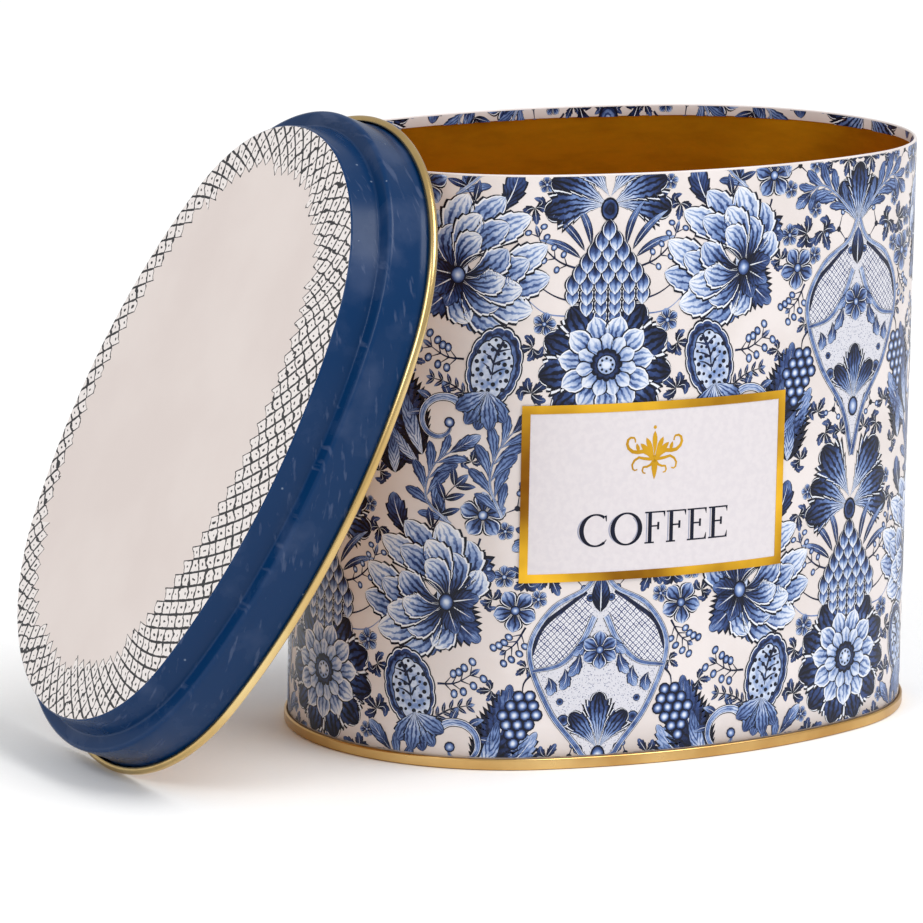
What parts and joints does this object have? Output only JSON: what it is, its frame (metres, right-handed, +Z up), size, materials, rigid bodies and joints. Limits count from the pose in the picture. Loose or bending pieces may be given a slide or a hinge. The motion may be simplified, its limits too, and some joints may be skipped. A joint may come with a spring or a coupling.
{
  "type": "coffee tin",
  "caption": "Oval printed metal storage tin for coffee, straight-walled and open-mouthed, with its stepped slip-on lid standing beside it and leaning on one end.",
  "frame": {"origin": "centre of the whole arrangement's bounding box at floor level, under the tin and the leaning lid together", "axes": "+Z up, +X along the tin's long way from the leaning lid towards the tin's free end, +Y from the labelled front towards the back"},
  "size_m": [0.2278, 0.1246, 0.1527],
  "materials": {
    "printed_tinplate": "satin lithographed blue botanical print on cream outside, gold lacquer inside",
    "gold_lacquer": "satin gold lacquer over tinplate",
    "label_face": "satin pale panel in a gold metallic frame",
    "blue_enamel": "glossy deep blue enamel with a cream crown panel, gold lacquered curl and inside"
  },
  "bodies": {
    "tin": {"body_wall": "printed_tinplate", "base_end": "gold_lacquer", "front_label": "label_face"},
    "lid": {"lid": "blue_enamel"}
  },
  "joints": [
    {"name": "lid_pull", "type": "slide", "parent": "tin", "child": "lid", "axis": [-0.9283, 0.0178, 0.3714], "range_m": [0, 0.12]}
  ]
}
